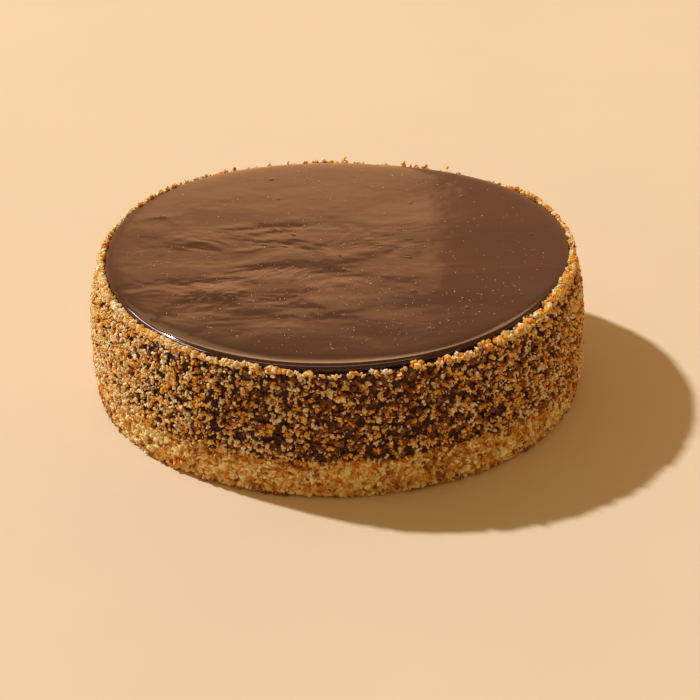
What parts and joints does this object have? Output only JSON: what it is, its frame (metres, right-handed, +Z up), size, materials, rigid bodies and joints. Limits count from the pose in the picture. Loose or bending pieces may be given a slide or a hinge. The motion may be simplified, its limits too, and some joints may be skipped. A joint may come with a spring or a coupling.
{
  "type": "tres leches cake",
  "caption": "Round uncut tres leches cake with a smooth chocolate glaze on top, toasted crumbs pressed all round the side and a pale soaked sponge at the foot.",
  "frame": {"origin": "centre of the flat underside, on the cake's axis", "axes": "+Z up along the cake's axis; -Y towards the side shown at the front of the picture"},
  "size_m": [0.1998, 0.1997, 0.056],
  "materials": {
    "soaked_sponge": "soft and moist, matte, coarse pale crumb with toasted specks",
    "crumb_coat": "rough coat of cream, golden and toasted crumbs over dark chocolate",
    "chocolate_glaze": "smooth satin to glossy milk chocolate glaze"
  },
  "bodies": {
    "root": {"sponge_base": "soaked_sponge", "chocolate_layer": "crumb_coat", "glaze": "chocolate_glaze"}
  },
  "joints": []
}
